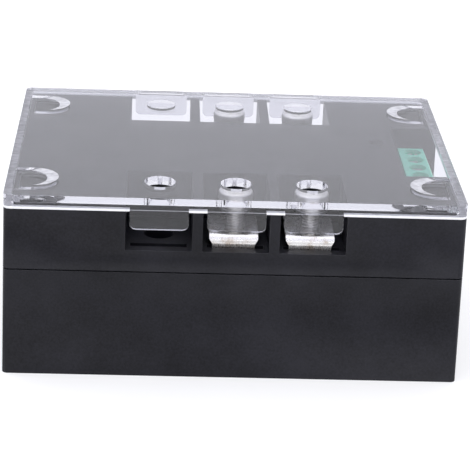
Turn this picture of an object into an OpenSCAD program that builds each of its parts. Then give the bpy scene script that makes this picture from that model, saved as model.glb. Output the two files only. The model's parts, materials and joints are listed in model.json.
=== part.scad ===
// Industrial solid state relay for three power lines, two of them switched.
// Two black plastic case halves stand on a metal heat spreader. A clear lift-off
// cover guards six terminal slots and a four-way control connector in a side bay.
// Origin: centre of the footprint, on the surface that the heat spreader rests on.
// X runs along the long side, -Y is the front with the input terminals, Z is up.

/* [Housing] */
// Width of the housing along X at its top ledge
case_w = 100; // [98:0.5:103]
// Depth of the housing along Y at its top ledge
case_d = 73.5; // [73:0.5:76]
// How far each side leans out between the ledge and the base
draft = 0.5; // [0.2:0.1:0.8]
// Height of the seam between the lower and the upper case
seam_z = 25.1; // [24.8:0.1:25.4]
// Height of the ledge that carries the cover's rim
ledge_z = 38.9; // [38.6:0.1:39.1]
// Thickness of the housing walls
wall = 2.2; // [1.8:0.1:2.6]

/* [Cover] */
// Height of the cover's top face
cover_top_z = 42.1; // [41.8:0.1:42.6]
// Thickness of the cover's flat plate
cover_plate = 2.0; // [1.8:0.1:2.2]
// Width of the rim round the cover
cover_rim = 1.6; // [1.2:0.1:1.6]
// Diameter of the screwdriver holes
driver_hole_d = 6.9; // [6:0.1:7.5]
// Width of each tab that closes a terminal slot
tab_w = 12.7; // [11:0.1:13.5]
// Height of the tabs' lower edge
tab_low_z = 34.75; // [34.2:0.05:36]

/* [Terminals] */
// Distance from one terminal column to the next
pole_pitch = 16.7; // [16.2:0.1:17.2]
// Width of a terminal slot
slot_w = 14.5; // [14:0.1:14.8]
// Length of a terminal slot, measured inwards from the housing's face
slot_len = 19.5; // [19:0.1:20]
// Height of a terminal slot's floor
slot_floor_z = 30; // [29.8:0.1:30.2]
// Distance of the terminal screws from the housing's face
screw_inset = 10.25; // [10:0.05:10.5]
// Height of the terminal strips' upper face
strip_top_z = 32.6; // [32.4:0.1:32.8]
// Height of the top of the terminal screws' heads
screw_top_z = 39.5; // [39.3:0.1:39.6]

/* [Mounting] */
// Hole-to-hole distance of the mounting holes along X
mount_pitch_x = 88; // [87.5:0.1:88.5]
// Hole-to-hole distance of the mounting holes along Y
mount_pitch_y = 50.4; // [50:0.1:51]
// Diameter of the mounting holes in the base plate
mount_hole_d = 5.2; // [4.5:0.1:5.5]
// Thickness of the base plate
plate_t = 3; // [2.8:0.1:3.1]

/* [Control connector] */
// Distance between two control terminals
clamp_pitch = 5.08; // [5:0.01:5.08]
// Height of the connector's top face
block_top_z = 36.7; // [36.5:0.1:37.2]

/* [Hidden] */

$fn = 64;
eps = 0.1;

// Colours
black_plastic = [0.10, 0.10, 0.11];
clear_plastic = [0.86, 0.88, 0.93, 0.35];
tinned = [0.86, 0.84, 0.80];
steel = [0.72, 0.72, 0.70];
bright_aluminium = [0.78, 0.79, 0.80];
copper = [0.78, 0.46, 0.28];
connector_green = [0.22, 0.62, 0.36];

// Housing
front_y = case_d / 2;
corner_r = 1.2;
hull_corner_fn = 32;
skin = 0.01;
top_z = ledge_z + 0.7;
ledge_w = cover_rim + 0.25;
top_plate = 2;
seam_groove_h = 0.35;
seam_groove_depth = 0.5;
ceiling_z = top_z - top_plate;
inner_w = case_w - 2 * wall;
inner_d = case_d - 2 * wall;

// Cover
cover_low_z = ledge_z;
plate_low_z = cover_top_z - cover_plate;
cover_corner_r = 1.4;
tab_t = 1.1;
tab_corner_r = 1.3;
tab_overlap = 0.4;
cup_boss_z = ledge_z + 0.1;
cup_boss_gap = 0.3;
cup_floor_z = cover_top_z - 0.4;
cup_r = 5.3;
cup_low_r = 4.7;
cup_ramp = 1.9;

// Base plate, its seat in the lower case and the step above it
plate_w = case_w - 5;
plate_d = case_d - 5;
plate_fit = 0.15;
plate_corner_r = 3;
step_top_z = plate_t + 1.5;
step_overlap = 1;

// Screw wells over the mounting holes
well_r = 5.2;
well_wall = 1.6;
well_x = mount_pitch_x / 2;
well_y = mount_pitch_y / 2;
well_end_x = plate_w / 2 - 0.1;

// Screws that hold the case together, driven from below
case_screw_x = 31.5;
case_screw_y = 29;
case_screw_d = 2.9;
case_screw_tip_z = 33;
case_screw_head_d = 6;
case_screw_head_h = 1.6;
case_screw_gap = 0.2;
case_sink_gap = 0.6;
case_recess_l = 3;
case_recess_w = 0.8;
pillar_r = 3.5;

// Terminal slots
screw_y = front_y - screw_inset;
slot_in_y = front_y - slot_len;
slot_wall = 2;
slot_base_z = slot_floor_z - 2;
group_w = 2 * pole_pitch + slot_w + 2 * slot_wall;
nut_pocket_d = 6.8;
nut_pocket_z = 24.9;
tower_r = 4.8;
tower_z = 23.4;
slit_w = 12.4;
slit_t = 1.7;
slit_y = front_y - 3.3;

// Terminal strips
strip_t = 1;
strip_w = 10.8;
strip_leg_w = 9.4;
strip_shoulder_z = slot_floor_z + 0.7;
strip_bend_r = 1.9;
strip_leg_y = slit_y + strip_t / 2;
strip_tail_y = screw_y - 5.4;
strip_foot_y = 23;
strip_hole_d = 4.6;
strip_shift_x = -0.35;

// Terminal screws (M4), nuts and spring washers
thread_d = 4;
fit = 0.05;
head_d = 7.6;
head_h = 2.2;
head_low_z = screw_top_z - head_h;
recess_w = 0.9;
recess_l = 4.8;
recess_depth = 1.1;
screw_len = 8;
nut_d = 6.2;
nut_h = 4.2;
washer_d = 7.4;
washer_t = 0.9;
washer_gap_w = 0.7;

// Power section on the base plate
ceramic_t = 1;
ceramic_w = 15;
ceramic_l = 56;
pad_t = 0.8;
pad_w = 13;
pad_gap = 2;
pad_l = 26;
pad_z = plate_t + ceramic_t;
chip_z = pad_z + pad_t;
chip_w = 9;
chip_t = 0.5;
chip_y = 10;
clip_w = 5.5;
clip_x = 3.25;
clip_t = 0.5;
clip_bridge_z = chip_z + 2;
gate_pin_d = 0.8;
gate_pin_x = 2.6;

// Control board
board_t = 1.6;
board_top_z = 24.1;
board_low_z = board_top_z - board_t;
board_x0 = -36;
board_x1 = 46.5;
board_d = 34;
board_post_x = 31.5;
board_post_y = 12.5;
board_post_r = 2.8;
board_screw_d = 2;
board_screw_tip_z = 30.5;
board_screw_head_d = 4.4;
board_screw_head_h = 1.5;

// Parts on the control board
board_hole_gap = 0.3;
opto_w = 8.6;
opto_d = 6.4;
opto_h = 3.4;
opto_lift = 0.6;
opto_lead_w = 0.6;
lead_pitch = 2.54;
snubber_l = 10;
resistor_d = 4;
resistor_y = 9;
resistor_z = 2.2;
capacitor_t = 5;
capacitor_h = 9;
capacitor_y = -12;
varistor_d = 10;
varistor_t = 4;
varistor_x = -18;
varistor_y = 7;
varistor_z = 5.5;
regulator_x = 27.5;
regulator_y = -6;
regulator_d = 4.8;
regulator_h = 5;
regulator_flat_y = 1.4;

// Status light
led_x = 34.2;
led_y = 6;
led_hole_d = 3.4;
led_d = 3;
led_flange_d = 3.8;
led_low_z = 34.4;
led_lead_w = 0.5;
led_recess = 1.3;
led_flange_h = 1;

// Connector bay and connector
bay_x = 38.6;
bay_half_d = 16.3;
bay_floor_z = 27.1;
bay_wall = 2.2;
block_x0 = 40;
block_x1 = 48;
block_top_x1 = 46;
block_shoulder_z = 32.4;
block_end = 0.3;
block_d = 4 * clamp_pitch + block_end;
clamp_x = 43.3;
clamp_well_d = 4;
clamp_ledge_z = 34.2;
clamp_head_z = 34.3;
clamp_head_h = 1.5;
clamp_head_d = 3.6;
clamp_thread_d = 2.5;
clamp_tip_z = 30.8;
clamp_slot_w = 0.6;
clamp_slot_depth = 0.8;
cell_x0 = 40.4;
cell_x1 = 46;
cell_w = 4;
cell_top_z = 33.4;
entry_w = 3;
entry_z0 = 27.8;
entry_z1 = 31;
cage_x0 = 41.4;
cage_x1 = 45.4;
cage_w = 3.8;
cage_low_z = 27.3;
cage_h = 4.3;
cage_side = 0.5;
cage_floor = 0.6;
cage_roof = 0.8;
contact_w = 1.8;
contact_t = 0.6;
contact_z = 30.1;
contact_leg_x = 40.5;
contact_leg_t = 0.7;
contact_leg_w = 0.9;
contact_tip_z = 21.3;
contact_hole = 1.5;

// Where things repeat
sides = [-1, 1];
poles = [-1, 0, 1];
live_poles = [0, 1];
clamp_rows = [0, 1, 2, 3];

function pole_x(pole) = pole * pole_pitch + 0.15;
function clamp_y(row) = (row - 1.5) * clamp_pitch;
function lean(z) = 2 * draft * (ledge_z - z) / ledge_z;

// Outline with true round corners
module rounded_outline(w, d, r) {
    square([w - 2 * r, d], center = true);
    square([w, d - 2 * r], center = true);
    for (x = sides, y = sides)
        translate([x * (w / 2 - r), y * (d / 2 - r)])
            circle(r);
}

module rounded_slab(w, d, r, z0, z1) {
    translate([0, 0, z0])
        linear_extrude(z1 - z0)
            rounded_outline(w, d, r);
}

// Outer body of the housing between two heights, leaning out towards the base
module leaning_block(z0, z1) {
    hull() {
        for (z = [z0, z1 - skin])
            rounded_slab(case_w + lean(z), case_d + lean(z), corner_r, z, z + skin, $fn = hull_corner_fn);
    }
}

// Well outline: a half circle towards the middle, straight sides out to x_end
module well_outline(side_x, r, x_end) {
    reach = x_end - well_x;
    intersection() {
        circle(r);
        translate([-side_x * r / 2, 0])
            square([r + skin, 2 * r], center = true);
    }
    translate([side_x * reach / 2, 0])
        square([reach, 2 * r], center = true);
}

module wells(r, x_end, z0, z1) {
    for (x = sides, y = sides)
        translate([x * well_x, y * well_y, z0])
            linear_extrude(z1 - z0)
                well_outline(x, r, x_end);
}

// The same upright cylinder at the four places (+-x, +-y)
module four_rods(x, y, r, z0, z1) {
    for (side_x = sides, side_y = sides)
        translate([side_x * x, side_y * y, z0])
            cylinder(r = r, h = z1 - z0);
}

// Heat spreader with mounting holes and countersunk holes for the case screws
module base_plate() {
    color(bright_aluminium)
        difference() {
            rounded_slab(plate_w, plate_d, plate_corner_r, 0, plate_t);
            four_rods(well_x, well_y, mount_hole_d / 2, -eps, plate_t + eps);
            four_rods(case_screw_x, case_screw_y, case_screw_d / 2 + case_screw_gap, -eps, plate_t + eps);
            for (x = sides, y = sides)
                translate([x * case_screw_x, y * case_screw_y, -eps])
                    cylinder(d1 = case_screw_head_d + case_sink_gap, d2 = case_screw_d + 2 * case_screw_gap,
                             h = case_screw_head_h + 2 * eps);
        }
}

// Webs that tie the case screw pillars to the front and back walls
module pillar_webs(z0, z1) {
    web_t = 2;
    web_l = inner_d / 2 - case_screw_y + eps;
    for (x = sides, y = sides)
        translate([x * case_screw_x, y * (case_screw_y + web_l / 2), (z0 + z1) / 2])
            cube([web_t, web_l, z1 - z0], center = true);
}

// Shadow line round the housing, just under the seam
module seam_groove() {
    groove_w = case_w + lean(seam_z) - 2 * seam_groove_depth;
    groove_d = case_d + lean(seam_z) - 2 * seam_groove_depth;
    difference() {
        rounded_slab(2 * case_w, 2 * case_d, corner_r, seam_z - seam_groove_h, seam_z + eps);
        rounded_slab(groove_w, groove_d, corner_r, seam_z - seam_groove_h - eps, seam_z + 2 * eps);
    }
}

module lower_case() {
    color(black_plastic)
        difference() {
            union() {
                difference() {
                    leaning_block(0, seam_z);
                    rounded_slab(inner_w, inner_d, corner_r, step_top_z, seam_z + eps);
                    rounded_slab(plate_w - 2 * step_overlap, plate_d - 2 * step_overlap, plate_corner_r,
                                 plate_t - eps, step_top_z + eps);
                    rounded_slab(plate_w + 2 * plate_fit, plate_d + 2 * plate_fit, plate_corner_r,
                                 -eps, plate_t);
                }
                wells(well_r + well_wall, inner_w / 2 + eps, plate_t, seam_z);
                four_rods(case_screw_x, case_screw_y, pillar_r, plate_t, seam_z);
                pillar_webs(step_top_z, seam_z);
            }
            wells(well_r, well_end_x, plate_t - eps, seam_z + eps);
            seam_groove();
            four_rods(case_screw_x, case_screw_y, case_screw_d / 2 + case_screw_gap,
                      plate_t - eps, seam_z + eps);
        }
}

// Block of plastic round the three terminal slots of one side
module slot_group_body(side_y) {
    body_len = slot_len + slot_wall - wall / 2;
    translate([pole_x(0) - group_w / 2, side_y > 0 ? slot_in_y - slot_wall : wall / 2 - front_y, slot_base_z])
        cube([group_w, body_len, ceiling_z - slot_base_z + eps]);
    for (pole = poles)
        translate([pole_x(pole), side_y * screw_y, tower_z])
            cylinder(r = tower_r, h = slot_base_z - tower_z + eps);
}

// Space inside the slots of one side, with the strip slits and the nut pockets
module slot_group_space(side_y) {
    for (pole = poles) {
        translate([pole_x(pole), side_y * (slot_in_y + slot_len), (slot_floor_z + top_z) / 2 + eps])
            cube([slot_w, 2 * slot_len, top_z - slot_floor_z + 2 * eps], center = true);
        translate([pole_x(pole), side_y * slit_y, slot_base_z + 1])
            cube([slit_w, slit_t, 3], center = true);
        translate([pole_x(pole), side_y * screw_y, nut_pocket_z])
            cylinder(d = nut_pocket_d, h = slot_floor_z - nut_pocket_z + eps);
    }
}

module upper_case() {
    color(black_plastic)
        difference() {
            union() {
                difference() {
                    union() {
                        leaning_block(seam_z, ledge_z);
                        rounded_slab(case_w - 2 * ledge_w, case_d - 2 * ledge_w, corner_r,
                                     ledge_z - eps, top_z);
                    }
                    rounded_slab(inner_w, inner_d, corner_r, seam_z - eps, ceiling_z);
                }
                for (side_y = sides)
                    slot_group_body(side_y);
                bay_body();
                wells(well_r + well_wall, inner_w / 2 + eps, seam_z, ceiling_z + eps);
                four_rods(case_screw_x, case_screw_y, pillar_r, seam_z, ceiling_z + eps);
                four_rods(board_post_x, board_post_y, board_post_r, board_top_z, ceiling_z + eps);
            }
            for (side_y = sides)
                slot_group_space(side_y);
            bay_space();
            wells(well_r, well_end_x, seam_z - eps, top_z + eps);
            four_rods(case_screw_x, case_screw_y, case_screw_d / 2 + fit, seam_z - eps, case_screw_tip_z + 1);
            four_rods(board_post_x, board_post_y, board_screw_d / 2 + fit,
                      board_top_z - eps, board_screw_tip_z + 1);
            translate([led_x, led_y, ceiling_z - eps])
                cylinder(d = led_hole_d, h = top_plate + 2 * eps);
        }
}

// Floor and walls of the connector bay
module bay_body() {
    translate([bay_x - bay_wall, -bay_half_d - bay_wall, seam_z])
        cube([inner_w / 2 - bay_x + bay_wall + eps, 2 * (bay_half_d + bay_wall), ceiling_z - seam_z + eps]);
}

module bay_space() {
    translate([bay_x, -bay_half_d, bay_floor_z])
        cube([case_w / 2, 2 * bay_half_d, top_z]);
    for (row = clamp_rows)
        translate([contact_leg_x + contact_leg_t / 2, clamp_y(row), bay_floor_z - 1])
            cube([contact_hole, contact_hole, 3], center = true);
}

// Cover: flat plate, rim, six slot tabs, six driver holes and four corner cups
module clear_cover() {
    color(clear_plastic)
        difference() {
            union() {
                rounded_slab(case_w, case_d, cover_corner_r, plate_low_z, cover_top_z);
                difference() {
                    rounded_slab(case_w, case_d, cover_corner_r, cover_low_z, plate_low_z + eps);
                    rounded_slab(case_w - 2 * cover_rim, case_d - 2 * cover_rim, corner_r,
                                 cover_low_z - eps, plate_low_z + 2 * eps);
                }
                for (pole = poles, side_y = sides)
                    cover_tab(pole, side_y);
                wells(well_r - cup_boss_gap, well_end_x - cup_boss_gap, cup_boss_z, plate_low_z + eps);
            }
            for (pole = poles, side_y = sides)
                translate([pole_x(pole), side_y * screw_y, plate_low_z - eps])
                    cylinder(d = driver_hole_d, h = cover_plate + 2 * eps);
            for (side_x = sides, side_y = sides)
                cup_space(side_x, side_y);
        }
}

// Tab that hangs in front of one slot, with two round lower corners
module cover_tab(pole, side_y) {
    tab_h = cover_low_z - tab_low_z + tab_overlap;
    translate([pole_x(pole), side_y * (front_y - tab_t / 2) + tab_t / 2, tab_low_z])
        rotate([90, 0, 0])
            linear_extrude(tab_t) {
                translate([-tab_w / 2, tab_corner_r])
                    square([tab_w, tab_h - tab_corner_r]);
                translate([tab_corner_r - tab_w / 2, 0])
                    square([tab_w - 2 * tab_corner_r, tab_h]);
                for (x = sides)
                    translate([x * (tab_w / 2 - tab_corner_r), tab_corner_r])
                        circle(tab_corner_r);
            }
}

// Round-ended pocket whose inner end ramps down to the cup's floor
module cup_space(side_x, side_y) {
    pocket_end = case_w / 2 - cover_rim;
    hull() {
        translate([side_x * well_x, side_y * well_y, cover_top_z])
            linear_extrude(eps)
                well_outline(side_x, cup_r, pocket_end, $fn = hull_corner_fn);
        translate([side_x * (well_x + cup_ramp), side_y * well_y, cup_floor_z])
            linear_extrude(skin)
                well_outline(side_x, cup_low_r, pocket_end - cup_ramp, $fn = hull_corner_fn);
    }
}

// Side outline of a bent terminal strip: first coordinate outwards, second upwards
module strip_outline() {
    leg_in = strip_leg_y - strip_t;
    translate([strip_tail_y, strip_top_z - strip_t])
        square([strip_leg_y - strip_bend_r - strip_tail_y, strip_t]);
    translate([strip_leg_y - strip_bend_r, strip_top_z - strip_bend_r])
        quarter_bend();
    translate([leg_in, chip_z])
        square([strip_t, strip_top_z - strip_bend_r - chip_z]);
    translate([strip_foot_y, chip_z])
        square([strip_leg_y - strip_foot_y, strip_t]);
}

module quarter_bend() {
    intersection() {
        difference() {
            circle(strip_bend_r);
            circle(strip_bend_r - strip_t);
        }
        square(strip_bend_r + eps);
    }
}

// Front outline of a strip: full width above, narrower leg below the shoulders
module strip_front_outline() {
    half = strip_w / 2;
    leg = strip_leg_w / 2;
    shoulder_h = 1.1;
    polygon([
        [-half, strip_top_z + eps], [-half, strip_shoulder_z + shoulder_h], [-leg, strip_shoulder_z],
        [-leg, chip_z - eps], [leg, chip_z - eps], [leg, strip_shoulder_z],
        [half, strip_shoulder_z + shoulder_h], [half, strip_top_z + eps]
    ]);
}

module terminal_strip(pole, side_y) {
    color(tinned)
        translate([pole_x(pole) + strip_shift_x, 0, 0])
            mirror([0, side_y > 0 ? 0 : 1, 0])
                difference() {
                    intersection() {
                        translate([-strip_w / 2, 0, 0])
                            rotate([90, 0, 90])
                                linear_extrude(strip_w)
                                    strip_outline();
                        translate([0, front_y, 0])
                            rotate([90, 0, 0])
                                linear_extrude(front_y)
                                    strip_front_outline();
                    }
                    translate([-strip_shift_x, screw_y, strip_top_z - 2 * strip_t])
                        cylinder(d = strip_hole_d, h = 3 * strip_t);
                }
}

module terminal_nuts() {
    color(steel)
        for (pole = live_poles, side_y = sides)
            translate([pole_x(pole), side_y * screw_y, strip_top_z - strip_t - nut_h])
                difference() {
                    cylinder(d = nut_d, h = nut_h);
                    translate([0, 0, -eps])
                        cylinder(d = thread_d + 2 * fit, h = nut_h + 2 * eps);
                }
}

module terminal_screw(pole, side_y) {
    color(tinned)
        translate([pole_x(pole), side_y * screw_y, head_low_z])
            difference() {
                union() {
                    cylinder(d = head_d, h = head_h);
                    translate([0, 0, -screw_len])
                        cylinder(d = thread_d, h = screw_len + eps);
                }
                for (turn = [0, 90])
                    rotate(turn)
                        translate([0, 0, head_h])
                            cube([recess_l, recess_w, 2 * recess_depth], center = true);
            }
}

// Split ring under the screw head
module spring_washer(pole, side_y) {
    color(steel)
        translate([pole_x(pole), side_y * screw_y, head_low_z - washer_t])
            difference() {
                cylinder(d = washer_d, h = washer_t);
                translate([0, 0, -eps])
                    cylinder(d = thread_d + 4 * fit, h = washer_t + 2 * eps);
                rotate(45)
                    translate([washer_d / 2, 0, washer_t / 2])
                        cube([washer_d, washer_gap_w, 2 * washer_t], center = true);
            }
}

// One insulating plate under each switched pole
module ceramic_substrates() {
    color("white")
        for (pole = live_poles)
            translate([pole_x(pole), 0, plate_t + ceramic_t / 2])
                cube([ceramic_w, ceramic_l, ceramic_t], center = true);
}

module copper_pads() {
    color(copper)
        for (pole = live_poles, side_y = sides)
            translate([pole_x(pole), side_y * (pad_gap / 2 + pad_l / 2), pad_z + pad_t / 2])
                cube([pad_w, pad_l, pad_t], center = true);
}

module thyristor_chips() {
    color("dimgray")
        for (pole = live_poles, side_y = sides)
            translate([pole_x(pole), side_y * chip_y, chip_z + chip_t / 2])
                cube([chip_w, chip_w, chip_t], center = true);
}

// Bridges from the top of each chip to the other side's copper pad
module cathode_clips() {
    landing_z = chip_z + chip_t;
    landing_y = chip_y - 3;
    bridge_y = chip_y - 5.5;
    foot_y = 3.5;
    color(copper)
        for (pole = live_poles, side_y = sides)
            translate([pole_x(pole) - side_y * clip_x - clip_w / 2, 0, 0])
                mirror([0, side_y > 0 ? 0 : 1, 0])
                    rotate([90, 0, 90])
                        linear_extrude(clip_w) {
                            translate([bridge_y, landing_z])
                                square([chip_y + 3 - bridge_y, clip_t]);
                            translate([bridge_y, landing_z])
                                square([clip_t, clip_bridge_z - landing_z]);
                            translate([-foot_y, clip_bridge_z - clip_t])
                                square([foot_y + bridge_y + clip_t, clip_t]);
                            translate([-foot_y, chip_z])
                                square([clip_t, clip_bridge_z - chip_z]);
                            translate([-foot_y, chip_z])
                                square([landing_y / 4, clip_t]);
                        }
}

module gate_pins() {
    color("gold")
        for (pole = live_poles, side_y = sides)
            translate([pole_x(pole) + side_y * gate_pin_x, side_y * chip_y, chip_z + chip_t])
                cylinder(d = gate_pin_d, h = board_low_z - chip_z - chip_t);
}

module control_board() {
    color("darkgreen")
        difference() {
            translate([board_x0, -board_d / 2, board_low_z])
                cube([board_x1 - board_x0, board_d, board_t]);
            four_rods(board_post_x, board_post_y, board_screw_d / 2 + board_hole_gap,
                      board_low_z - eps, board_top_z + eps);
            for (row = clamp_rows)
                translate([contact_leg_x + contact_leg_t / 2, clamp_y(row), board_low_z])
                    cube([contact_hole, contact_hole, 4 * board_t], center = true);
        }
}

module board_screws() {
    color(steel)
        for (x = sides, y = sides)
            translate([x * board_post_x, y * board_post_y, board_low_z]) {
                translate([0, 0, -board_screw_head_h])
                    cylinder(d = board_screw_head_d, h = board_screw_head_h);
                translate([0, 0, -eps])
                    cylinder(d = board_screw_d, h = board_screw_tip_z - board_low_z + eps);
            }
}

module case_screws() {
    color(steel)
        for (x = sides, y = sides)
            translate([x * case_screw_x, y * case_screw_y, 0]) {
                difference() {
                    cylinder(d1 = case_screw_head_d, d2 = case_screw_d, h = case_screw_head_h);
                    for (turn = [0, 90])
                        rotate(turn)
                            cube([case_recess_l, case_recess_w, case_screw_head_h], center = true);
                }
                translate([0, 0, case_screw_head_h - eps])
                    cylinder(d = case_screw_d, h = case_screw_tip_z - case_screw_head_h);
            }
}

// Optocoupler bodies, one for each switched pole
module optocouplers() {
    color("whitesmoke")
        for (pole = live_poles)
            translate([pole_x(pole), 0, board_top_z + opto_lift + opto_h / 2])
                cube([opto_w, opto_d, opto_h], center = true);
}

module optocoupler_leads() {
    lead_h = opto_lift + opto_h / 2;
    lead_y = (opto_d + opto_lead_w) / 2;
    color(tinned)
        for (pole = live_poles, side_y = sides, column = [-1, 0, 1])
            translate([pole_x(pole) + lead_pitch * column, side_y * lead_y, board_top_z + lead_h / 2])
                cube([opto_lead_w, opto_lead_w, lead_h], center = true);
}

// Snubber parts stand between the two rows of slots
module snubber_resistors() {
    color("peru")
        for (pole = live_poles)
            translate([pole_x(pole) - snubber_l / 2, resistor_y, board_top_z + resistor_z])
                rotate([0, 90, 0])
                    cylinder(d = resistor_d, h = snubber_l);
}

module snubber_capacitors() {
    color("firebrick")
        for (pole = live_poles)
            translate([pole_x(pole) - snubber_l / 2, capacitor_y, board_top_z])
                cube([snubber_l, capacitor_t, capacitor_h]);
}

module varistors() {
    color("royalblue")
        for (side_y = sides)
            translate([varistor_x, side_y * varistor_y, board_top_z + varistor_z])
                rotate([0, 90, 0])
                    cylinder(d = varistor_d, h = varistor_t);
}

module input_regulator() {
    color("black")
        translate([regulator_x, regulator_y, board_top_z])
            difference() {
                cylinder(d = regulator_d, h = regulator_h);
                translate([-regulator_d, regulator_flat_y, -eps])
                    cube([2 * regulator_d, regulator_d, regulator_h + 2 * eps]);
            }
}

module status_led() {
    dome_z = top_z - led_recess - led_d / 2;
    shoulder_z = led_low_z + led_flange_h;
    color("darkred")
        translate([led_x, led_y, 0]) {
            translate([0, 0, led_low_z])
                cylinder(d = led_flange_d, h = led_flange_h);
            translate([0, 0, shoulder_z - eps])
                cylinder(d = led_d, h = dome_z - shoulder_z + eps);
            translate([0, 0, dome_z])
                sphere(d = led_d);
        }
}

module status_led_leads() {
    color(tinned)
        for (y = sides)
            translate([led_x, led_y + y * lead_pitch / 2, (board_top_z + led_low_z) / 2])
                cube([led_lead_w, led_lead_w, led_low_z - board_top_z], center = true);
}

// Green connector body: four open cells, each with a screw well and a wire entry
module control_block() {
    color(connector_green)
        difference() {
            translate([0, block_d / 2, 0])
                rotate([90, 0, 0])
                    linear_extrude(block_d)
                        polygon([
                            [block_x0, bay_floor_z], [block_x1, bay_floor_z], [block_x1, block_shoulder_z],
                            [block_top_x1, block_top_z], [block_x0, block_top_z]
                        ]);
            for (row = clamp_rows)
                translate([0, clamp_y(row), 0])
                    clamp_cell();
        }
}

module clamp_cell() {
    translate([cell_x0, -cell_w / 2, bay_floor_z - eps])
        cube([cell_x1 - cell_x0, cell_w, cell_top_z - bay_floor_z + eps]);
    translate([cell_x1 - eps, -entry_w / 2, entry_z0])
        cube([block_x1 - cell_x1 + 2 * eps, entry_w, entry_z1 - entry_z0]);
    translate([clamp_x, 0, clamp_ledge_z])
        cylinder(d = clamp_well_d, h = block_top_z);
    translate([clamp_x, 0, cell_top_z - eps])
        cylinder(d = clamp_thread_d + 4 * fit, h = 2);
}

// Contact plate inside each cage, with its solder leg down to the board
module control_contacts() {
    color(tinned)
        for (row = clamp_rows)
            translate([0, clamp_y(row), 0]) {
                translate([contact_leg_x, -contact_w / 2, contact_z])
                    cube([cage_x1 - contact_leg_x - 0.3, contact_w, contact_t]);
                translate([contact_leg_x, -contact_leg_w / 2, contact_tip_z])
                    cube([contact_leg_t, contact_leg_w, contact_z - contact_tip_z + eps]);
            }
}

module clamp_screw(row) {
    color(steel)
        translate([clamp_x, clamp_y(row), 0])
            difference() {
                union() {
                    translate([0, 0, clamp_head_z])
                        cylinder(d = clamp_head_d, h = clamp_head_h);
                    translate([0, 0, clamp_tip_z])
                        cylinder(d = clamp_thread_d, h = clamp_head_z - clamp_tip_z + eps);
                }
                rotate(25 * row)
                    translate([0, 0, clamp_head_z + clamp_head_h])
                        cube([clamp_head_d + 1, clamp_slot_w, 2 * clamp_slot_depth], center = true);
            }
}

// Rising cage: a square ring that the screw draws up against the contact plate
module clamp_cage(row) {
    color(tinned)
        translate([0, clamp_y(row), 0])
            difference() {
                translate([cage_x0, -cage_w / 2, cage_low_z])
                    cube([cage_x1 - cage_x0, cage_w, cage_h]);
                translate([cage_x0 - eps, cage_side - cage_w / 2, cage_low_z + cage_floor])
                    cube([cage_x1 - cage_x0 + 2 * eps, cage_w - 2 * cage_side,
                          cage_h - cage_floor - cage_roof]);
                translate([clamp_x, 0, cage_low_z + cage_h - 2 * cage_roof])
                    cylinder(d = clamp_thread_d + 2 * fit, h = 3 * cage_roof);
            }
}

base_plate();
lower_case();
upper_case();
clear_cover();
terminal_strip(0, -1);  // terminal_strip_front_mid
terminal_strip(1, -1);  // terminal_strip_front_right
terminal_strip(0, 1);  // terminal_strip_back_mid
terminal_strip(1, 1);  // terminal_strip_back_right
terminal_nuts();
terminal_screw(0, -1);  // terminal_screw_front_mid
terminal_screw(1, -1);  // terminal_screw_front_right
terminal_screw(0, 1);  // terminal_screw_back_mid
terminal_screw(1, 1);  // terminal_screw_back_right
spring_washer(0, -1);  // spring_washer_front_mid
spring_washer(1, -1);  // spring_washer_front_right
spring_washer(0, 1);  // spring_washer_back_mid
spring_washer(1, 1);  // spring_washer_back_right
ceramic_substrates();
copper_pads();
thyristor_chips();
cathode_clips();
gate_pins();
control_board();
board_screws();
case_screws();
optocouplers();
optocoupler_leads();
snubber_resistors();
snubber_capacitors();
varistors();
input_regulator();
status_led();
status_led_leads();
control_block();
control_contacts();
clamp_screw(0);  // clamp_screw_1
clamp_screw(1);  // clamp_screw_2
clamp_screw(2);  // clamp_screw_3
clamp_screw(3);  // clamp_screw_4
clamp_cage(0);  // clamp_cage_1
clamp_cage(1);  // clamp_cage_2
clamp_cage(2);  // clamp_cage_3
clamp_cage(3);  // clamp_cage_4
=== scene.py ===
"""Looks of a solid state relay: a black two-part case under a clear cover, with plated terminals."""

import json
import math

import bmesh
import bpy
from mathutils import Matrix, Vector

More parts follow.
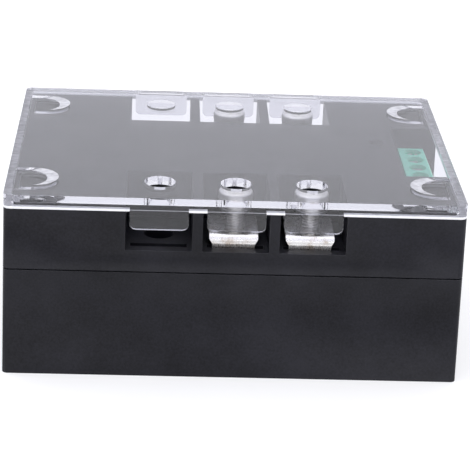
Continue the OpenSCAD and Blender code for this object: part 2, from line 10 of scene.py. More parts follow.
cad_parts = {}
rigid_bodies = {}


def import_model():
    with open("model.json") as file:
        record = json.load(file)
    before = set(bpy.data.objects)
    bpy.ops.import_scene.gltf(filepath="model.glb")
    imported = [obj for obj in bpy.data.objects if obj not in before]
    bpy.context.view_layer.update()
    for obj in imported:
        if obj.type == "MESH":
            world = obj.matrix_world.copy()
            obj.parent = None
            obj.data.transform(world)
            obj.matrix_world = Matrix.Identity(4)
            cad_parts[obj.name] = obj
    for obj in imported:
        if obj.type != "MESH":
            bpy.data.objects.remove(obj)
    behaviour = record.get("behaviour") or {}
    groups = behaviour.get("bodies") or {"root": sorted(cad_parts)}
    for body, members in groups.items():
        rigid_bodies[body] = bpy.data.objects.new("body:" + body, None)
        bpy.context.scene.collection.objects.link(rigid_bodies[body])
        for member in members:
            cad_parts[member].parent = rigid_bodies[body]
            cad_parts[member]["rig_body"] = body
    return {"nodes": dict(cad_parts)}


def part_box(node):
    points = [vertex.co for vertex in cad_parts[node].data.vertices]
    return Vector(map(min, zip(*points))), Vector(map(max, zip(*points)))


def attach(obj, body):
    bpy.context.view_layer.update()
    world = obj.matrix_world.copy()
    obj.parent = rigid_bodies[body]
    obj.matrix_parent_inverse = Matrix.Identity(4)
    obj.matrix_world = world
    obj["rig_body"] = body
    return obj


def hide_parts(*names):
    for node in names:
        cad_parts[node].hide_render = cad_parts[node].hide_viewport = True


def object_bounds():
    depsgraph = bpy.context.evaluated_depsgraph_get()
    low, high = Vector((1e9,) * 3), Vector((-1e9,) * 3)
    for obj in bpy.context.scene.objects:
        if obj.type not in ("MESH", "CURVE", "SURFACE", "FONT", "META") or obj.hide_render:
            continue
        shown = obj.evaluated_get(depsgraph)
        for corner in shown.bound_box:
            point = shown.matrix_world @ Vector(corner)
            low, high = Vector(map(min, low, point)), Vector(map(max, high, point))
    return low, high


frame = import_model()
cad_low, cad_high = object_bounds()

MM = 0.001
WHERE = ("front_mid", "front_right", "back_mid", "back_right")
ROWS = (1, 2, 3, 4)


# ---------------------------------------------------------------- camera

# Direction from the object to the camera, in degrees, and the camera's own tilt
CAMERA_AZIMUTH = -2.66
CAMERA_ELEVATION = 22.43
CAMERA_ROLL = 2.42
CAMERA_DISTANCE = 450.9 * MM
CAMERA_TARGET = Vector((1.59, 0.0, 18.92)) * MM
CAMERA_LENS = 145.9
CAMERA_SENSOR = 36
CAMERA_NEAR = 0.01
CAMERA_FAR = 20


def make_camera():
    """Camera at the photograph's angle, rolled by its tilt."""
    azimuth = math.radians(CAMERA_AZIMUTH)
    elevation = math.radians(CAMERA_ELEVATION)
    roll = math.radians(CAMERA_ROLL)
    flat = math.cos(elevation)
    back = Vector((math.sin(azimuth) * flat, -math.cos(azimuth) * flat, math.sin(elevation)))
    level_right = (-back).cross(Vector((0, 0, 1))).normalized()
    level_up = level_right.cross(-back)
    right = level_right * math.cos(roll) + level_up * math.sin(roll)
    up = level_up * math.cos(roll) - level_right * math.sin(roll)
    data = bpy.data.cameras.new("camera")
    data.lens = CAMERA_LENS
    data.sensor_width = CAMERA_SENSOR
    data.clip_start = CAMERA_NEAR
    data.clip_end = CAMERA_FAR
    camera = bpy.data.objects.new("camera", data)
    turn = Matrix((right, up, back)).transposed()
    camera.matrix_world = Matrix.Translation(CAMERA_TARGET + back * CAMERA_DISTANCE) @ turn.to_4x4()
    bpy.context.scene.collection.objects.link(camera)
    bpy.context.scene.camera = camera


# ---------------------------------------------------------------- node recipes

class Recipe:
    """Node graph of one material, built round its Principled shader."""

    def __init__(self, name, **sockets):
        self.material = bpy.data.materials.new(name)
        self.material.use_nodes = True
        self.tree = self.material.node_tree
        self.shader = self.tree.nodes["Principled BSDF"]
        self.place = self.node("ShaderNodeTexCoord").outputs["Object"]
        for socket, value in sockets.items():
            self.shader.inputs[socket.replace("_", " ")].default_value = value

    def node(self, kind, **settings):
        made = self.tree.nodes.new(kind)
        for name, value in settings.items():
            setattr(made, name, value)
        return made

    def link(self, source, target):
        self.tree.links.new(source, target)

    def stretched(self, stretch):
        """Object coordinates scaled by a different factor along each axis."""
        mapping = self.node("ShaderNodeMapping")
        mapping.inputs["Scale"].default_value = stretch
        self.link(self.place, mapping.inputs["Vector"])
        return mapping.outputs["Vector"]

    def noise(self, grain_mm, detail=3, roughness=0.5, stretch=(1, 1, 1)):
        """Noise whose blobs are about grain_mm across."""
        made = self.node("ShaderNodeTexNoise")
        made.inputs["Scale"].default_value = 1 / (grain_mm * MM)
        made.inputs["Detail"].default_value = detail
        made.inputs["Roughness"].default_value = roughness
        self.link(self.stretched(stretch), made.inputs["Vector"])
        return made.outputs["Fac"]

    def cells(self, grain_mm, stretch=(1, 1, 1)):
        """Distance to the nearest of points that are about grain_mm apart."""
        made = self.node("ShaderNodeTexVoronoi")
        made.inputs["Scale"].default_value = 1 / (grain_mm * MM)
        self.link(self.stretched(stretch), made.inputs["Vector"])
        return made.outputs["Distance"]

    def remap(self, value, low, high, start=0.0, end=1.0):
        """Value from low..high spread over start..end, clamped."""
        made = self.node("ShaderNodeMapRange")
        made.inputs["From Min"].default_value = low
        made.inputs["From Max"].default_value = high
        made.inputs["To Min"].default_value = start
        made.inputs["To Max"].default_value = end
        self.link(value, made.inputs["Value"])
        return made.outputs["Result"]

    def math(self, operation, first, second):
        made = self.node("ShaderNodeMath", operation=operation)
        for socket, value in zip(made.inputs, (first, second)):
            if isinstance(value, (int, float)):
                socket.default_value = value
            else:
                self.link(value, socket)
        return made.outputs["Value"]

    def ramp(self, value, *stops):
        """Colour ramp through (position, colour) stops."""
        made = self.node("ShaderNodeValToRGB")
        elements = made.color_ramp.elements
        while len(elements) < len(stops):
            elements.new(0.5)
        for element, (position, colour) in zip(elements, stops):
            element.position = position
            element.color = (*colour, 1)
        self.link(value, made.inputs["Fac"])
        return made.outputs["Color"]

    def colour(self, source):
        self.link(source, self.shader.inputs["Base Color"])
        return self

    def rough(self, source):
        self.link(source, self.shader.inputs["Roughness"])
        return self

    def bump(self, *layers):
        """Bump layers, each (height, depth in millimetres), one on top of another."""
        under = None
        for height, depth_mm in layers:
            made = self.node("ShaderNodeBump")
            made.inputs["Strength"].default_value = 1
            made.inputs["Distance"].default_value = depth_mm * MM
            self.link(height, made.inputs["Height"])
            if under is not None:
                self.link(under, made.inputs["Normal"])
            under = made.outputs["Normal"]
        self.link(under, self.shader.inputs["Normal"])
        return self


def moulded_plastic(name, dark, light, rough_low, rough_high, level, grain_mm=0.25, depth_mm=0.006):
    """Moulded plastic: fine spark-eroded grain, slow colour drift and a few rubbed patches."""
    r = Recipe(name, Specular_IOR_Level=level)
    drift = r.noise(14, detail=4, roughness=0.6)
    speck = r.noise(grain_mm * 1.5, detail=2)
    tone = r.math("ADD", r.math("MULTIPLY", drift, 0.6), r.math("MULTIPLY", speck, 0.4))
    r.colour(r.ramp(tone, (0.35, dark), (0.65, light)))
    rubbed = r.noise(6, detail=5, roughness=0.7, stretch=(1, 1, 2.5))
    r.rough(r.remap(rubbed, 0.3, 0.7, rough_low, rough_high))
    r.bump((r.noise(18, detail=1), 0.06), (r.noise(grain_mm, detail=3, roughness=0.6), depth_mm))
    return r.material


def black_plastic():
    """Black of both case halves, a little grainier than the other mouldings."""
    return moulded_plastic("black_plastic", (0.0035, 0.0035, 0.0055), (0.0135, 0.0135, 0.0185),
                           0.33, 0.52, 0.23, grain_mm=0.32, depth_mm=0.012)


def highlit_black_edges():
    """Edges of the black mouldings painted greyer than the faces: a painted highlight standing in for the
    light lines their rounded edges catch.
    """
    return moulded_plastic("black_plastic_highlit_edge", (0.07, 0.07, 0.08), (0.2, 0.2, 0.22), 0.36, 0.5, 0.5)


def green_plastic():
    return moulded_plastic("green_plastic", (0.15, 0.82, 0.55), (0.22, 0.92, 0.65),
                           0.35, 0.5, 0.4, 0.3, 0.004)


def white_plastic():
    return moulded_plastic("white_plastic", (0.66, 0.65, 0.61), (0.76, 0.75, 0.72), 0.4, 0.55, 0.4)


def epoxy():
    return moulded_plastic("black_epoxy", (0.02, 0.02, 0.02), (0.04, 0.04, 0.04), 0.45, 0.65, 0.4, 0.15, 0.01)


def clear_plastic():
    """Polished clear moulding with a faint flow waviness and hair scratches on its top."""
    r = Recipe("clear_plastic", IOR=1.49, Transmission_Weight=1.0)
    tint = r.noise(22, detail=2)
    r.colour(r.ramp(tint, (0.3, (0.70, 0.70, 0.75)), (0.7, (0.74, 0.74, 0.785))))
    r.rough(r.remap(r.noise(9, detail=4, roughness=0.7), 0.45, 0.8, 0.012, 0.05))
    r.bump((r.noise(26, detail=1), 0.03))
    return r.material


def painted_highlight_plastic(name, dull, bright, clearness):
    """Edges of the clear moulding painted whitish and only partly clear: a painted highlight for the bright
    lines and patches these edges show where they catch and bend light.
    """
    r = Recipe(name, IOR=1.49, Transmission_Weight=clearness)
    streak = r.noise(0.8, detail=4, roughness=0.7, stretch=(0.35, 1, 1))
    r.colour(r.ramp(streak, (0.3, dull), (0.62, bright)))
    r.rough(r.remap(streak, 0.3, 0.7, 0.38, 0.6))
    r.bump((streak, 0.02))
    return r.material


def rim_highlight_plastic():
    """The rim's lower edge and its front and back undersides, painted white: a painted highlight for the
    bright line along the rim's bottom.
    """
    return painted_highlight_plastic("rim_highlight_plastic", (0.86, 0.87, 0.91), (0.99, 0.99, 1.0), 0.12)


def soft_highlight_plastic():
    """The cups' ramps and the rim's undersides along both ends, painted less white: a painted highlight for
    the light crescents and streaks there.
    """
    return painted_highlight_plastic("soft_highlight_plastic", (0.3, 0.3, 0.33), (0.72, 0.72, 0.75), 0.25)


def plated_metal(name, dull, bright, rough_low, rough_high, brush=(1, 1, 1), stain=None, grain_mm=0.5,
                 metallic=1.0):
    """Plated metal: brushed scratches, cloudy plating and darker handling stains."""
    r = Recipe(name, Metallic=metallic)
    cloud = r.noise(3.2, detail=5, roughness=0.65)
    colours = [(0.30, stain or dull), (0.46, dull), (0.62, bright)]
    r.colour(r.ramp(cloud, *colours))
    scratch = r.noise(grain_mm, detail=4, roughness=0.7, stretch=brush)
    r.rough(r.remap(scratch, 0.3, 0.75, rough_low, rough_high))
    r.bump((r.noise(2.4, detail=2), 0.03), (scratch, 0.006))
    return r.material


def strip_metal():
    """Bright tin plate with fine scratches along the strip and clouds of brown tarnish."""
    return plated_metal("strip_tin", (0.9, 0.88, 0.85), (0.98, 0.97, 0.95), 0.2, 0.36,
                        brush=(4, 0.6, 0.6), stain=(0.6, 0.52, 0.44), metallic=0.92)


def screw_metal():
    return plated_metal("screw_nickel", (0.82, 0.81, 0.78), (0.94, 0.93, 0.91), 0.32, 0.5,
                        brush=(1, 1, 3), stain=(0.62, 0.6, 0.57), grain_mm=0.3, metallic=0.8)


def zinc_metal():
    return plated_metal("zinc", (0.60, 0.60, 0.60), (0.78, 0.78, 0.77), 0.28, 0.46,
                        brush=(2, 2, 1), stain=(0.45, 0.45, 0.42), grain_mm=0.4)


def tin_metal():
    return plated_metal("tin", (0.72, 0.70, 0.66), (0.86, 0.84, 0.80), 0.22, 0.4, grain_mm=0.4)


def aluminium():
    """Milled heat spreader: long tool marks along X."""
    return plated_metal("milled_aluminium", (0.70, 0.71, 0.72), (0.84, 0.85, 0.86), 0.24, 0.42,
                        brush=(0.05, 1, 1), stain=(0.6, 0.6, 0.6), grain_mm=0.35)


def copper():
    return plated_metal("copper", (0.60, 0.30, 0.17), (0.78, 0.44, 0.28), 0.3, 0.5, stain=(0.35, 0.16, 0.09))


def gold():
    return plated_metal("gold", (0.74, 0.52, 0.18), (0.9, 0.68, 0.28), 0.2, 0.34, brush=(1, 1, 0.2))


def ceramic():
    return moulded_plastic("ceramic", (0.70, 0.70, 0.67), (0.82, 0.82, 0.80), 0.45, 0.62, 0.5, 0.12, 0.003)


def silicon():
    r = Recipe("silicon", Metallic=0.6)
    r.colour(r.ramp(r.noise(4), (0.3, (0.10, 0.11, 0.13)), (0.7, (0.19, 0.20, 0.24))))
    r.rough(r.remap(r.noise(0.4, detail=4), 0.3, 0.7, 0.14, 0.26))
    r.bump((r.cells(0.9, stretch=(1, 1, 0.1)), 0.004))
    return r.material


def board_laminate():
    """Green solder mask over woven glass."""
    r = Recipe("board_laminate", Coat_Weight=0.4, Coat_Roughness=0.2)
    weave = r.math("MULTIPLY", r.noise(0.9, stretch=(1, 0.1, 1)), r.noise(0.9, stretch=(0.1, 1, 1)))
    r.colour(r.ramp(weave, (0.12, (0.012, 0.10, 0.035)), (0.4, (0.03, 0.19, 0.07))))
    r.rough(r.remap(r.noise(5, detail=4), 0.3, 0.7, 0.3, 0.45))
    r.bump((weave, 0.02))
    return r.material


def dipped_coat(name, dark, light):
    """Dipped coating: glossy, uneven, with small sags."""
    r = Recipe(name, Coat_Weight=0.5, Coat_Roughness=0.15)
    r.colour(r.ramp(r.noise(2.5, detail=3), (0.3, dark), (0.7, light)))
    r.rough(r.remap(r.noise(0.8, detail=4), 0.3, 0.7, 0.25, 0.42))
    r.bump((r.noise(1.6, detail=2), 0.08))
    return r.material


def led_lens():
    r = Recipe("led_lens", Transmission_Weight=0.55, IOR=1.5)
    r.colour(r.ramp(r.noise(1.5), (0.3, (0.22, 0.02, 0.02)), (0.7, (0.34, 0.04, 0.03))))
    r.rough(r.remap(r.noise(0.3, detail=3), 0.3, 0.7, 0.08, 0.2))
    r.bump((r.noise(0.9), 0.01))
    return r.material


# ---------------------------------------------------------------- meshes

def dress(piece, *materials):
    """Give a piece or mesh its materials, with every face on the first."""
    mesh = getattr(piece, "data", piece)
    mesh.materials.clear()
    for material in materials:
        mesh.materials.append(material)
    for face in mesh.polygons:
        face.material_index = 0


def join_loose(mesh, merge_mm=0.0005, flat_degrees=0.4):
    """Merge split corners and join coplanar triangles, so that edges can be rounded."""
    made = bmesh.new()
    made.from_mesh(mesh)
    bmesh.ops.remove_doubles(made, verts=made.verts, dist=merge_mm * MM)
    bmesh.ops.dissolve_limit(made, angle_limit=math.radians(flat_degrees), use_dissolve_boundaries=False,
                             verts=made.verts, edges=made.edges)
    for face in made.faces:
        face.smooth = True
    made.to_mesh(mesh)
    made.free()


def stand_for(node, mesh):
    """A new piece with this mesh, that rides and is hidden or shown as the CAD node was."""
    piece = bpy.data.objects.new(node + "_look", mesh)
    bpy.context.scene.collection.objects.link(piece)
    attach(piece, frame["nodes"][node]["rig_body"])
    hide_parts(node)
    return piece


EDGE_SLOT = 1


def rounded_copy(node, material, edge_mm, segments=2, angle=32, edge_material=None, mark=None,
                 soft_highlight_material=None):
    """A copy of a CAD node with its sharp edges rounded, that stands for the node.

    Without mark, edge_material goes on the rounded edges. With it, mark(mesh) cuts the copy first
    and puts faces on edge_material (RIM_HIGHLIGHT) or soft_highlight_material (SOFT_HIGHLIGHT), both painted
    highlights.
    """
    mesh = frame["nodes"][node].data.copy()
    mesh.name = node + "_look"
    dress(mesh, *(m for m in (material, edge_material, soft_highlight_material) if m))
    join_loose(mesh)
    if mark:
        mark(mesh)
    piece = stand_for(node, mesh)
    soften = piece.modifiers.new("edges", "BEVEL")
    soften.width = edge_mm * MM
    soften.segments = segments
    soften.limit_method = "ANGLE"
    soften.angle_limit = math.radians(angle)
    soften.miter_outer = "MITER_ARC"
    if edge_material and not mark:
        soften.material = EDGE_SLOT
    level = piece.modifiers.new("flat_faces", "WEIGHTED_NORMAL")
    level.weight = 100
    level.keep_sharp = False
    return piece


# ---------------------------------------------------------------- clear cover's painted edge highlights

# Material slots of the cover's painted highlights: white on the rim, dimmer at its ends and on the cup ramps.
RIM_HIGHLIGHT, SOFT_HIGHLIGHT = 1, 2
HIGHLIGHT_BAND = 0.6 * MM
TAB_HALF_W = 6.35 * MM
TAB_DROP = 4.15 * MM
POLE_PITCH = 16.7 * MM
POLE_SHIFT = 0.15 * MM
CUP_DEPTH = 0.4 * MM
CUP_INNER_X = 37.0 * MM
RIM_W = 1.6 * MM
RIM_LIFT = 0.05 * MM
NEAR = 0.02 * MM
CUT_REACH = NEAR / 10
FACES_DOWN = -0.9
UPRIGHT = 0.5
RAMP_FLATTEST, RAMP_STEEPEST = 0.999, 0.05
RAMP_OUTWARD = 0.05


def tab_columns():
    """X of the middle of each of the cover's three tab columns."""
    return [POLE_SHIFT + pole * POLE_PITCH for pole in (-1, 0, 1)]


def tab_edges():
    """X of both edges of each of the cover's three tab columns."""
    return [column + side * TAB_HALF_W for column in tab_columns() for side in (-1, 1)]


def paint_cover_highlights(mesh):
    """Paint a white highlight on the rim's lower band outside the tabs and on its front and back undersides.

    The undersides at both ends and the corner cups' inner ramps get a dimmer painted highlight, which is less
    white.
    The rim's underside is lifted a little, off the case's ledge, so that the two don't coincide.
    """
    low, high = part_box("clear_cover")
    rim_z = low.z + TAB_DROP
    band_z = rim_z + HIGHLIGHT_BAND
    made = bmesh.new()
    made.from_mesh(mesh)
    for z in (rim_z, band_z):
        everything = made.verts[:] + made.edges[:] + made.faces[:]
        bmesh.ops.bisect_plane(made, geom=everything, dist=CUT_REACH, plane_co=(0, 0, z), plane_no=(0, 0, 1))
    for x in tab_edges() + [RIM_W - high.x, high.x - RIM_W]:
        made.verts.index_update()
        made.edges.index_update()
        band = [face for face in made.faces if in_band(face, rim_z, band_z)]
        edges = {edge for face in band for edge in face.edges}
        verts = {vert for face in band for vert in face.verts}
        cut = sorted(verts, key=lambda v: v.index) + sorted(edges, key=lambda e: e.index) + band
        bmesh.ops.bisect_plane(made, geom=cut, dist=CUT_REACH, plane_co=(x, 0, 0), plane_no=(1, 0, 0))
    for face in made.faces:
        middle = face.calc_center_median()
        beside_tab = all(abs(middle.x - column) > TAB_HALF_W for column in tab_columns())
        outside = abs(middle.x) > high.x - NEAR or beside_tab
        underside = face.normal.z < FACES_DOWN and abs(middle.z - rim_z) < NEAR
        upright = abs(face.normal.z) < UPRIGHT
        side = abs(middle.x) > high.x - RIM_W
        # The two edge materials set below are painted highlights, white on the rim and dimmer at the ends and
        # on the cup ramps.
        if underside and side:
            face.material_index = SOFT_HIGHLIGHT
        elif underside or upright and in_band(face, rim_z, band_z) and outside:
            face.material_index = RIM_HIGHLIGHT
        ramp = CUP_INNER_X < abs(middle.x) and high.z - CUP_DEPTH + NEAR < middle.z < high.z - NEAR
        sloping = RAMP_STEEPEST < face.normal.z < RAMP_FLATTEST
        outward = face.normal.x * middle.x > RAMP_OUTWARD * abs(middle.x)
        if ramp and sloping and outward:
            face.material_index = SOFT_HIGHLIGHT
    for vert in made.verts:
        if abs(vert.co.z - rim_z) < NEAR:
            vert.co.z += RIM_LIFT
    made.to_mesh(mesh)
    made.free()


def in_band(face, low_z, high_z):
    """Whether a face lies in the lower band of the cover's rim or is the rim's underside."""
    return low_z - NEAR < min(v.co.z for v in face.verts) and max(v.co.z for v in face.verts) < high_z + NEAR


# ---------------------------------------------------------------- terminal screws and spring washers

TURN_STEPS = 48
HEAD_EDGE_R = 0.5 * MM
HEAD_CROWN = 0.25 * MM
EDGE_STEPS = 6
CROWN_STEPS = 8
HEAD_H = 2.2 * MM
SHANK_R = 2.0 * MM
THREAD_PITCH = 0.7 * MM
THREAD_DEPTH = 0.4 * MM
THREAD_RINGS_PER_TURN = 8
THREAD_TIP_R = 1.45 * MM
THREAD_CREST = 0.14
THREAD_FLANK = 0.72
HEAD_CHAMFERS = ((0, 0.15 * MM), (0.05 * MM, 0.04 * MM), (0.15 * MM, 0))
NECK_GAP = 0.05 * MM
RECESS_L = 4.8 * MM
RECESS_W = 0.9 * MM
RECESS_DEPTH = 1.05 * MM
RECESS_ABOVE = 0.2 * MM
RECESS_LOW_SCALE = 0.8
RECESS_HIGH_SCALE = 1.04
WASHER_BORE_R = 2.1 * MM
WASHER_RISE = 0.14 * MM
WASHER_CORNER = 0.14 * MM
WASHER_STEPS = 64
WASHER_GAP = math.radians(10)
WASHER_START = math.radians(45)


def thread_radius(angle, z):
    """Radius of the threaded shank at an angle and height: a helix with sloping flanks."""
    phase = (z / THREAD_PITCH - angle / (2 * math.pi)) % 1
    flank = abs(2 * phase - 1)
    return SHANK_R - THREAD_DEPTH * min(max((flank - THREAD_CREST) / THREAD_FLANK, 0), 1)


def screw_rings(head_r, low_z, high_z):
    """Rings (height, radius at each angle) of a screw from its tip to the top of its head."""
    head_z = high_z - HEAD_H
    neck_z = head_z - THREAD_PITCH / 2
    count = int((neck_z - low_z) / THREAD_PITCH * THREAD_RINGS_PER_TURN)
    rings = []
    for step in range(count + 1):
        z = low_z + (neck_z - low_z) * step / count
        tip = THREAD_TIP_R + (z - low_z)
        rings.append((z, lambda angle, z=z, tip=tip: min(thread_radius(angle, z), tip)))
    neck_r = SHANK_R - THREAD_DEPTH / 2
    profile = [(head_z - NECK_GAP, neck_r), (head_z, neck_r)]
    profile += [(head_z + rise, head_r - inset) for rise, inset in HEAD_CHAMFERS]
    edge_z = high_z - HEAD_CROWN - HEAD_EDGE_R
    for step in range(EDGE_STEPS + 1):
        turn = math.pi / 2 * step / EDGE_STEPS
        r = head_r - HEAD_EDGE_R * (1 - math.cos(turn))
        profile.append((edge_z + HEAD_EDGE_R * math.sin(turn), r))
    inner_r = head_r - HEAD_EDGE_R
    for step in range(1, CROWN_STEPS + 1):
        share = 1 - step / (CROWN_STEPS + 1)
        profile.append((high_z - HEAD_CROWN * share * share, inner_r * share))
    rings += [(z, lambda angle, r=r: r) for z, r in profile]
    return rings


def lathe(rings):
    """Closed mesh through rings of (height, radius function), about the Z axis."""
    made = bmesh.new()
    rows = []
    for z, radius in rings:
        row = []
        for step in range(TURN_STEPS):
            angle = 2 * math.pi * step / TURN_STEPS
            r = radius(angle)
            row.append(made.verts.new((r * math.cos(angle), r * math.sin(angle), z)))
        rows.append(row)
    for lower, upper in zip(rows, rows[1:]):
        for step in range(TURN_STEPS):
            after = (step + 1) % TURN_STEPS
            made.faces.new((lower[step], lower[after], upper[after], upper[step]))
    made.faces.new(list(reversed(rows[0])))
    made.faces.new(rows[-1])
    mesh = bpy.data.meshes.new("lathed")
    made.to_mesh(mesh)
    made.free()
    return mesh


def cross_cutter(top_z):
    """Tapered cross that cuts a screw's recess."""
    half_l = RECESS_L / 2
    half_w = RECESS_W / 2
    arm = [(half_l, -half_w), (half_l, half_w), (half_w, half_w)]
    outline = []
    for quarter in range(4):
        turn = Matrix.Rotation(math.radians(90 * quarter), 2)
        outline += [turn @ Vector(point) for point in arm]
    made = bmesh.new()
    rows = []
    levels = ((top_z - RECESS_DEPTH, RECESS_LOW_SCALE), (top_z + RECESS_ABOVE, RECESS_HIGH_SCALE))
    for z, scale in levels:
        rows.append([made.verts.new((point.x * scale, point.y * scale, z)) for point in outline])
    count = len(outline)
    for step in range(count):
        after = (step + 1) % count
        made.faces.new((rows[0][step], rows[0][after], rows[1][after], rows[1][step]))
    made.faces.new(list(reversed(rows[0])))
    made.faces.new(rows[1])
    mesh = bpy.data.meshes.new("cross")
    made.to_mesh(mesh)
    made.free()
    return mesh


def evaluated(piece):
    """Mesh of a piece with its modifiers applied."""
    graph = bpy.context.evaluated_depsgraph_get()
    return bpy.data.meshes.new_from_object(piece.evaluated_get(graph))


def cut_away(mesh, cutter_mesh):
    """Mesh with the cutter's space taken out."""
    body = bpy.data.objects.new("cut_body", mesh)
    cutter = bpy.data.objects.new("cut_tool", cutter_mesh)
    for piece in (body, cutter):
        bpy.context.scene.collection.objects.link(piece)
    cut = body.modifiers.new("cut", "BOOLEAN")
    cut.operation = "DIFFERENCE"
    cut.solver = "EXACT"
    cut.object = cutter
    result = evaluated(body)
    for piece in (body, cutter):
        bpy.data.objects.remove(piece)
    return result


def smooth_faces(mesh, sharp_degrees=34):
    for face in mesh.polygons:
        face.use_smooth = True
    mesh.set_sharp_from_angle(angle=math.radians(sharp_degrees))


def make_terminal_screws(material):
    """Round-headed screws with a cross recess and a helical thread."""
    low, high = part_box("terminal_screw_" + WHERE[0])
    shape = lathe(screw_rings((high.x - low.x) / 2, low.z, high.z))
    shape = cut_away(shape, cross_cutter(high.z))
    for where in WHERE:
        low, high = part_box("terminal_screw_" + where)
        mesh = shape.copy()
        mesh.name = "terminal_screw_" + where + "_look"
        mesh.transform(Matrix.Translation(((low.x + high.x) / 2, (low.y + high.y) / 2, 0)))
        smooth_faces(mesh)
        piece = stand_for("terminal_screw_" + where, mesh)
        dress(piece, material)


def washer_section(inner_r, outer_r, low_z, high_z):
    """Rounded rectangle (radius, height) of a spring washer's section."""
    cut = WASHER_CORNER
    return [
        (inner_r + cut, low_z), (outer_r - cut, low_z), (outer_r, low_z + cut), (outer_r, high_z - cut),
        (outer_r - cut, high_z), (inner_r + cut, high_z), (inner_r, high_z - cut), (inner_r, low_z + cut),
    ]


def make_spring_washers(material):
    """Split rings that climb slightly round the screw."""
    for where in WHERE:
        low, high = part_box("spring_washer_" + where)
        middle = (low + high) / 2
        outer_r = (high.y - low.y) / 2
        section = washer_section(WASHER_BORE_R, outer_r, low.z, high.z - WASHER_RISE)
        made = bmesh.new()
        rows = []
        for step in range(WASHER_STEPS + 1):
            share = step / WASHER_STEPS
            angle = WASHER_START + WASHER_GAP / 2 + (2 * math.pi - WASHER_GAP) * share
            climb = WASHER_RISE * share
            rows.append([
                made.verts.new((middle.x + r * math.cos(angle), middle.y + r * math.sin(angle), z + climb))
                for r, z in section
            ])
        for before, after in zip(rows, rows[1:]):
            for corner in range(len(section)):
                beside = (corner + 1) % len(section)
                made.faces.new((before[corner], after[corner], after[beside], before[beside]))
        made.faces.new(rows[0])
        made.faces.new(list(reversed(rows[-1])))
        bmesh.ops.recalc_face_normals(made, faces=made.faces)
        mesh = bpy.data.meshes.new("spring_washer_" + where + "_look")
        made.to_mesh(mesh)
        made.free()
        smooth_faces(mesh)
        piece = stand_for("spring_washer_" + where, mesh)
        dress(piece, material)


# ---------------------------------------------------------------- the relay

def dress_nodes(material, *nodes):
    for node in nodes:
        dress(frame["nodes"][node], material)


def dress_relay():
    black = black_plastic()
    # The greyer edge material is a painted highlight along the rounded edges of both case halves.
    highlit_edges = highlit_black_edges()
    rounded_copy("upper_case", black, 0.22, edge_material=highlit_edges)
    rounded_copy("lower_case", black, 0.22, edge_material=highlit_edges)
    # The cover's white and whitish edge materials are painted highlights along its rim and cup ramps.
    rounded_copy("clear_cover", clear_plastic(), 0.18,
                 edge_material=rim_highlight_plastic(), soft_highlight_material=soft_highlight_plastic(), mark=paint_cover_highlights)
    strip = strip_metal()
    screw = screw_metal()
    zinc = zinc_metal()
    tin = tin_metal()
    for where in WHERE:
        rounded_copy("terminal_strip_" + where, strip, 0.12)
    make_terminal_screws(screw)
    make_spring_washers(zinc)
    green = green_plastic()
    rounded_copy("control_block", green, 0.12)
    for row in ROWS:
        rounded_copy(f"clamp_screw_{row}", zinc, 0.08)
        rounded_copy(f"clamp_cage_{row}", tin, 0.1)
    rounded_copy("base_plate", aluminium(), 0.2)
    dress_nodes(zinc, "terminal_nuts", "board_screws", "case_screws")
    dress_nodes(tin, "optocoupler_leads", "status_led_leads", "control_contacts")
    dress_nodes(ceramic(), "ceramic_substrates")
    dress_nodes(copper(), "copper_pads", "cathode_clips")
    dress_nodes(silicon(), "thyristor_chips")
    dress_nodes(gold(), "gate_pins")
    dress_nodes(board_laminate(), "control_board")
    rounded_copy("optocouplers", white_plastic(), 0.25)
    resistor = dipped_coat("resistor_coat", (0.42, 0.25, 0.13), (0.56, 0.36, 0.2))
    capacitor = dipped_coat("capacitor_coat", (0.30, 0.03, 0.02), (0.42, 0.06, 0.04))
    varistor = dipped_coat("varistor_coat", (0.03, 0.07, 0.26), (0.05, 0.12, 0.38))
    rounded_copy("snubber_resistors", resistor, 0.9, segments=4)
    rounded_copy("snubber_capacitors", capacitor, 0.8, segments=3)
    rounded_copy("varistors", varistor, 1.1, segments=4)
    rounded_copy("input_regulator", epoxy(), 0.15)
    dress_nodes(led_lens(), "status_led")


# ---------------------------------------------------------------- floor and light

FLOOR_RADIUS = 6.0
FLOOR_GLOW = 0.47
FLOOR_GAP = 0.05 * MM
FLOOR_STEPS = 96

WORLD_COLOUR = (0.955, 0.96, 1.02, 1)
WORLD_FRONT = 0.8
WORLD_BACK = 1.14
WORLD_OVERHEAD = 0.9
FRONT_TO_BACK = (-0.75, 0.15)
OVERHEAD_SPAN = (0.42, 0.72)
IN_FRONT_SPAN = (0.3, -0.1)

SUN_STRENGTH = 0.6
SUN_ANGLE = math.radians(50)
SUN_TURN = (math.radians(-18), math.radians(-14), 0)

# Light runs through the clear cover's plate from edge to edge, which takes many reflections
LONGEST_PATH = 48


def make_floor():
    made = bmesh.new()
    bmesh.ops.create_circle(made, cap_ends=True, radius=FLOOR_RADIUS, segments=FLOOR_STEPS)
    mesh = bpy.data.meshes.new("floor")
    made.to_mesh(mesh)
    made.free()
    floor = bpy.data.objects.new("floor", mesh)
    floor.location.z = cad_low.z - FLOOR_GAP
    bpy.context.scene.collection.objects.link(floor)
    r = Recipe("floor_paper", Roughness=0.9, Specular_IOR_Level=0.1, Emission_Strength=FLOOR_GLOW)
    r.shader.inputs["Emission Color"].default_value = (1, 1, 1, 1)
    r.colour(r.ramp(r.noise(60, detail=3), (0.3, (0.50, 0.50, 0.505)), (0.7, (0.52, 0.52, 0.52))))
    dress(floor, r.material)


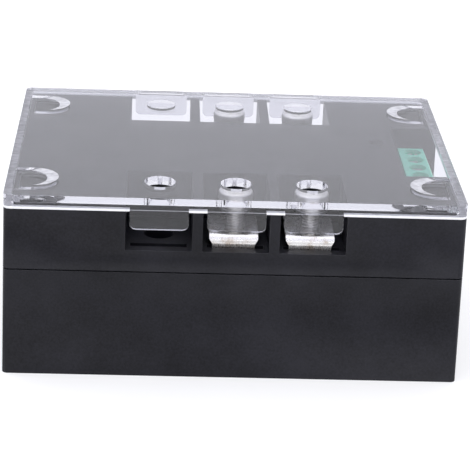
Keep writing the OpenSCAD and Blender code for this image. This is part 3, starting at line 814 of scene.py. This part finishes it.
def make_world():
    """Soft white surroundings, dimmer low on the camera's side and brighter above it."""
    world = bpy.data.worlds.new("studio")
    world.use_nodes = True
    bpy.context.scene.world = world
    tree = world.node_tree
    place = tree.nodes.new("ShaderNodeTexCoord")
    split = tree.nodes.new("ShaderNodeSeparateXYZ")
    tree.links.new(place.outputs["Generated"], split.inputs["Vector"])
    round_about = smooth_step(tree, split.outputs["Y"], FRONT_TO_BACK, (WORLD_FRONT, WORLD_BACK))
    overhead = smooth_step(tree, split.outputs["Z"], OVERHEAD_SPAN, (0, WORLD_OVERHEAD))
    in_front = smooth_step(tree, split.outputs["Y"], IN_FRONT_SPAN, (0, 1))
    panel = joined(tree, "MULTIPLY", overhead, in_front)
    background = tree.nodes["Background"]
    background.inputs["Color"].default_value = WORLD_COLOUR
    tree.links.new(joined(tree, "ADD", round_about, panel), background.inputs["Strength"])


def smooth_step(tree, value, span, levels):
    """Level that eases from the first to the second as the value crosses the span."""
    made = tree.nodes.new("ShaderNodeMapRange")
    made.interpolation_type = "SMOOTHSTEP"
    made.inputs["From Min"].default_value = span[0]
    made.inputs["From Max"].default_value = span[1]
    made.inputs["To Min"].default_value = levels[0]
    made.inputs["To Max"].default_value = levels[1]
    tree.links.new(value, made.inputs["Value"])
    return made.outputs["Result"]


def joined(tree, operation, first, second):
    made = tree.nodes.new("ShaderNodeMath")
    made.operation = operation
    tree.links.new(first, made.inputs[0])
    tree.links.new(second, made.inputs[1])
    return made.outputs["Value"]


def make_sun():
    data = bpy.data.lights.new("softbox", "SUN")
    data.energy = SUN_STRENGTH
    data.angle = SUN_ANGLE
    light = bpy.data.objects.new("softbox", data)
    light.rotation_euler = SUN_TURN
    bpy.context.scene.collection.objects.link(light)


def set_light_paths():
    cycles = bpy.context.scene.cycles
    cycles.max_bounces = LONGEST_PATH
    cycles.transmission_bounces = LONGEST_PATH
    cycles.glossy_bounces = LONGEST_PATH


make_camera()
make_floor()
make_world()
make_sun()
dress_relay()
set_light_paths()
bpy.context.scene.view_settings.view_transform = "Standard"
